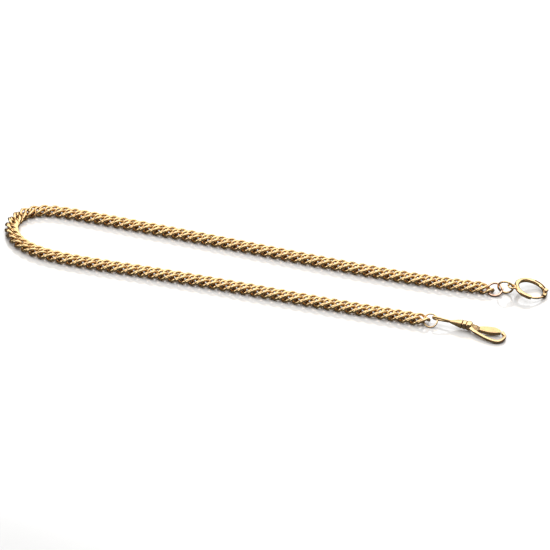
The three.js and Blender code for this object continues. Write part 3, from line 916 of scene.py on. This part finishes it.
@dataclass
class SnapHook:
    """The snap hook: a round wire hook on a shoulder, and a flat gate that a pin holds between two cheeks.

    Attributes:
        swivel: The swivel that it hangs on.
        shoulder: The shoulder's radius, in millimetres.
        shoulder_length: Its length.
        wire: The hook's wire.
        round_end: The round end's radius.
        reach: From the groove to the round end's centre.
        drop: How far that centre lies to the side.
        nose: Where the hook stops, in degrees.
        nose_room: How far the gate stops short of the end of the hook's wire.
        nose_level: Where the gate's sweep starts to clear the wire, outward from the hook's middle.
        thickness: The gate's and cheeks' thickness.
        pin: The pin's radius.
        pin_play: The play round it.
        pin_at: The pin's place.
        boss: The cheeks' radius round the pin.
        tongue: The radius of the gate's root.
        tongue_thickness: Its thickness.
        gap: Between the gate and what it passes.
        swing: Degrees that the gate opens.
    """

    swivel: Swivel = field(default_factory=Swivel)
    shoulder: float = 1.6
    shoulder_length: float = 1.75
    wire: float = 1.25
    round_end: float = 2.6
    reach: float = 11.6
    drop: float = -2.0
    nose: float = 58.0
    nose_room: float = 0.35
    nose_level: float = 0.9
    thickness: float = 1.3
    pin: float = 0.32
    pin_play: float = 0.06
    pin_at: tuple[float, float] = (4.45, -0.9)
    boss: float = 1.3
    tongue: float = 0.95
    tongue_thickness: float = 0.56
    gap: float = 0.13
    swing: float = 15.0

    def place(self) -> Matrix:
        """The hook's own axes: X runs from the groove to the round end."""
        spin, hinge = joint("swivel_spin"), joint("gate_hinge")
        return Place(Vector(spin["pos_m"]), Vector(spin["axis"]), -Vector(hinge["axis"])).matrix()

    @property
    def face(self) -> float:
        """Where the shoulder ends, along X."""
        return self.swivel.collar_length + COLLAR_SEAM + self.shoulder_length

    def from_pin(self, radius: float, angle: float) -> tuple[float, float]:
        """A point at a distance and an angle from the pin."""
        turn = math.radians(angle)
        return self.pin_at[0] + radius * math.cos(turn), self.pin_at[1] + radius * math.sin(turn)

    def on_round(self, angle: float) -> tuple[float, float]:
        """A point on the middle of the round end's wire."""
        turn = math.radians(angle)
        return self.reach + self.round_end * math.cos(turn), self.drop + self.round_end * math.sin(turn)

    def gate_reach(self) -> float:
        """How far the gate's tip is from the pin."""
        nose = self.on_round(self.nose)
        return math.hypot(nose[0] - self.pin_at[0], nose[1] - self.pin_at[1]) - self.nose_room

    def arc(self, radius: float, start: float, end: float, steps: int = 24) -> list[tuple[float, float]]:
        """Points on an arc round the pin."""
        return [self.from_pin(radius, a) for a in np.linspace(start, end, steps)]

    def drum(self, name: str, radius: float, low: float, high: float) -> bpy.types.Object:
        """An upright drum round the pin, from one height to another."""
        outline = np.array(self.arc(radius, 0, 360, 97)[:-1])
        return forged(name, plate(outline, high - low, (high + low) / 2))

    def build_body(self, place: Matrix) -> None:
        """Builds the hook, its shoulder and the cheeks in one piece.

        Args:
            place: The matrix of its sub-assembly.
        """
        px, py = self.pin_at
        start, face, big = self.swivel.collar_length + COLLAR_SEAM, self.face, self.shoulder
        profile = [(start, 0), (start, big * 0.82)]
        for t in np.linspace(0.04, 0.96, 14):
            swell = 0.2 * math.sin(math.pi * t**0.9) ** 0.55 - 0.1 * max(0.0, t - 0.5)
            profile.append((start + self.shoulder_length * t, big * (0.8 + swell)))
        profile += [(face, big * 0.68), (face, 0)]
        piece = forged("snap_hook", turned(profile, 48))
        points = [(face - 0.9, -0.7), (px - 1, py - 0.55), (px + 0.3, py - 1.35), (px + 2, py - 2.2),
                  (px + 4, py - 3)]
        points += [self.on_round(a) for a in (-100, -75, -50, -25, 0, 25, self.nose)]
        wire = wire_ring(rounded(points, 8), ACROSS, self.wire / 2, 28, False)
        boss = self.boss
        cheeks = [(face - 0.7, 0.75), (face, 0.62), *self.arc(boss, 90, -90), (face, -1.1), (face - 0.7, -1)]
        work(piece, Joinery.ADD, forged("wire", wire),
             forged("cheeks", plate(np.array(cheeks), self.thickness)))
        room = self.tongue + self.gap
        low = py - room - (boss + 1) * math.tan(math.radians(self.swing)) + 0.6
        slot = [(px + boss + 1, low), (px + boss + 1, py + room), *self.arc(room, 90, 300)]
        tall = self.thickness + 1
        swing = self.drum("swing", self.gate_reach() + self.gap, -tall / 2, tall / 2)
        near, far, level, block = self.reach - 2, self.reach + 4, self.drop + self.nose_level, 6.0
        beside = np.array([(near, level), (far, level), (far, level + block), (near, level + block)])
        work(swing, Joinery.COMMON, forged("above", plate(beside, block)))
        head = self.swivel.collar_length + self.swivel.rivet_head_length + 2 * self.swivel.gap
        wide = self.swivel.rivet_head + self.swivel.gap
        pocket = forged("pocket", turned([(start - 0.1, 0), (start - 0.1, wide), (head, wide),
                                          (head, 0)], 40))
        work(piece, Joinery.CUT, pocket,
             forged("slot", plate(np.array(slot), self.tongue_thickness + 2 * self.gap)),
             self.drum("hole", self.pin + self.pin_play, -tall / 2, tall / 2), swing)
        cast(piece, 0.05, 5)
        set_down(piece, place, "clasp", BRIGHT_GOLD, ("clasp_body",), 60)

    def gate_outline(self) -> list[tuple[float, float]]:
        """Draws the gate seen from above: a broad leaf with a narrower root round the pin.

        Returns:
            The outline's points, in order.
        """
        px, py = self.pin_at
        cx, cy = self.reach, self.drop
        top, reach = cy + self.round_end + self.wire / 2, self.gate_reach()
        tip, below = self.from_pin(reach, 9), self.from_pin(reach, 3)
        root = self.boss + self.gap
        outline = [(px, py + self.tongue), self.from_pin(root, 44)]
        outline += self._bend(outline[-1], (px + 3.2, top - 0.25), (px + 5.2, top))
        outline += self._bend(outline[-1], (px + 7.2, top + 0.1), tip)
        outline.append(below)
        outline += self._bend(below, (cx - 0.2, py - 0.3), (cx - 2, py - 0.6))
        outline += self._bend(outline[-1], (px + 3.4, py - 0.75), self.from_pin(root, -22))
        outline += [(px + 0.5, py - self.tongue * 0.85)]
        return outline + self.arc(self.tongue, 270, 90)[:-1]

    @staticmethod
    def _bend(start: tuple[float, float], control: tuple[float, float], end: tuple[float, float]) -> Profile:
        """Points of a bend from start to end that leans to its control point."""
        a, b, c = (np.array(p) for p in (start, control, end))
        return [tuple((1 - t) ** 2 * a + 2 * t * (1 - t) * b + t * t * c) for t in np.linspace(0, 1, 14)[1:]]

    def build_gate(self, place: Matrix) -> None:
        """Builds the gate.

        Args:
            place: The matrix of its sub-assembly.
        """
        piece = forged("gate_leaf", plate(np.array(self.gate_outline()), self.thickness))
        half, clear = self.tongue_thickness / 2, self.boss + self.gap
        work(piece, Joinery.CUT, self.drum("upper", clear, half, half + 1),
             self.drum("lower", clear, -half - 1, -half), self.drum("hole", self.pin + self.pin_play, -2, 2))
        cast(piece, 0.05, 5)
        set_down(piece, place, "gate", SATIN_GOLD, ("clasp_gate",), 60)

    def build_pin(self, place: Matrix) -> None:
        """Builds the pin with its two domed ends.

        Args:
            place: The matrix of its sub-assembly.
        """
        half, r = self.thickness / 2 + 0.06, self.pin
        profile = [(-half, 0), (-half + 0.01, r * 0.5), (-half + 0.04, r * 0.85), (-half + 0.1, r),
                   (half - 0.1, r), (half - 0.04, r * 0.85), (half - 0.01, r * 0.5), (half, 0)]
        piece = forged("gate_hinge_pin", turned(profile, 32))
        stand = Matrix.Translation((*self.pin_at, 0)) @ Matrix.Rotation(-math.pi / 2, 4, "Y")
        piece.data.transform(stand)
        set_down(piece, place, "clasp", DARK_PIN, ("gate_pin",), 50)

    def build(self) -> None:
        """Builds the swivel and the snap hook."""
        place = self.place()
        self.swivel.build(place)
        self.build_body(place)
        self.build_gate(place)
        self.build_pin(place)
        dress_node("gate_spring", SPRING_STEEL)


# ---- The studio --------------------------------------------------------------------------------------
@dataclass
class SoftBox:
    """A large soft lamp.

    Attributes:
        name: Its name.
        at: Where it hangs, in metres.
        aim: What it points at.
        size: Its two sides.
        power: Its power, in watts.
        tint: Its colour.
    """

    name: str
    at: Colour
    aim: Colour
    size: tuple[float, float]
    power: float
    tint: Colour = (1.0, 1.0, 1.0)

    def build(self) -> None:
        """Hangs the lamp."""
        lamp = bpy.data.lights.new(self.name, "AREA")
        lamp.shape = "RECTANGLE"
        lamp.size, lamp.size_y = self.size
        lamp.energy = self.power
        lamp.color = self.tint
        hung = bpy.data.objects.new(self.name, lamp)
        bpy.context.scene.collection.objects.link(hung)
        hung.location = self.at
        hung.rotation_mode = "QUATERNION"
        hung.rotation_quaternion = (Vector(self.aim) - Vector(self.at)).to_track_quat("-Z", "Y")


@dataclass
class Studio:
    """The pale floor, the soft lamps and the camera.

    Attributes:
        azimuth: The camera's bearing, in degrees.
        elevation: Its height over the horizon, in degrees.
        distance: From what it looks at, in metres.
        lens: Its focal length, in millimetres.
        aim: What it looks at.
        air: The brightness of the room that the metal mirrors.
        lamps: The lamps.
    """

    azimuth: float = 18.24
    elevation: float = 33.0
    distance: float = 0.8
    lens: float = 157.09
    aim: Colour = (0.004453, -0.002113, 0.000102)
    air: float = 0.1
    lamps: list[SoftBox] = field(default_factory=lambda: [
        SoftBox("overhead_soft_box", (0.0, 0.0, 0.6), (0.0, 0.0, 0.0), (1.2, 0.9), 6.4),
        SoftBox("back_soft_box", (0.15, 0.85, 0.45), (0.0, 0.0, 0.0), (1.6, 0.8), 6.0),
        SoftBox("left_soft_box", (-0.7, -0.3, 0.35), (0.0, 0.0, 0.0), (0.4, 0.3), 1.2),
    ])

    def build_floor(self) -> None:
        """Lays the floor."""
        reach = 4.0
        mesh = bpy.data.meshes.new("pale_floor")
        mesh.from_pydata([(-reach, -reach, 0), (reach, -reach, 0), (reach, reach, 0), (-reach, reach, 0)], [],
                         [(0, 1, 2, 3)])
        floor = bpy.data.objects.new("pale_floor", mesh)
        bpy.context.scene.collection.objects.link(floor)
        paint = bpy.data.materials.new("pale_floor_paint")
        paint.use_nodes = True
        shader = paint.node_tree.nodes["Principled BSDF"]
        shader.inputs["Base Color"].default_value = (0.9, 0.9, 0.9, 1.0)
        shader.inputs["Roughness"].default_value = 0.12
        shader.inputs["IOR"].default_value = 2.6
        mesh.materials.append(paint)
        floor.visible_glossy = False

    def build_air(self) -> None:
        """Fills the room: dim where the metal mirrors it, pale where it is seen past the floor."""
        world = bpy.data.worlds.new("room")
        bpy.context.scene.world = world
        world.use_nodes = True
        tree = world.node_tree
        dim = tree.nodes["Background"]
        dim.inputs["Color"].default_value = (1.0, 0.96, 0.9, 1.0)
        dim.inputs["Strength"].default_value = self.air
        pale = tree.nodes.new("ShaderNodeBackground")
        pale.inputs["Color"].default_value = (1.0, 1.0, 1.0, 1.0)
        seen = tree.nodes.new("ShaderNodeLightPath").outputs["Is Camera Ray"]
        mix = tree.nodes.new("ShaderNodeMixShader")
        tree.links.new(seen, mix.inputs["Fac"])
        tree.links.new(dim.outputs["Background"], mix.inputs[1])
        tree.links.new(pale.outputs["Background"], mix.inputs[2])
        tree.links.new(mix.outputs["Shader"], tree.nodes["World Output"].inputs["Surface"])

    def build_camera(self) -> None:
        """Sets up the camera."""
        lens = bpy.data.cameras.new("camera")
        lens.lens = self.lens
        lens.sensor_width = 36.0
        lens.clip_start, lens.clip_end = 0.01, 20.0
        camera = bpy.data.objects.new("camera", lens)
        bpy.context.scene.collection.objects.link(camera)
        turn, rise = math.radians(self.azimuth), math.radians(self.elevation)
        back = Vector((math.sin(turn) * math.cos(rise), -math.cos(turn) * math.cos(rise), math.sin(rise)))
        camera.location = Vector(self.aim) + back * self.distance
        camera.rotation_mode = "QUATERNION"
        camera.rotation_quaternion = (-back).to_track_quat("-Z", "Y")
        bpy.context.scene.camera = camera

    def build(self) -> None:
        """Sets up the studio."""
        self.build_camera()
        self.build_floor()
        self.build_air()
        for lamp in self.lamps:
            lamp.build()
        bpy.context.scene.view_settings.view_transform = "Standard"


def main() -> None:
    """Builds the studio and every sub-assembly in order."""
    logging.basicConfig(level=logging.INFO, format="%(message)s")
    Studio().build()
    CurbChain().build()
    LooseRing("end_ring_rose", "end_jump_ring", "end_ring", ROSE_GOLD).build()
    LooseRing("connecting_ring_wire", "connecting_ring", "connecting_ring", BRIGHT_GOLD, 200.0).build()
    LooseRing("swivel_ring_wire", "swivel_jump_ring", "swivel_ring", BRIGHT_GOLD, 60.0).build()
    BoltRing().build()
    SnapHook().build()


if __name__ == "__main__":
    main()
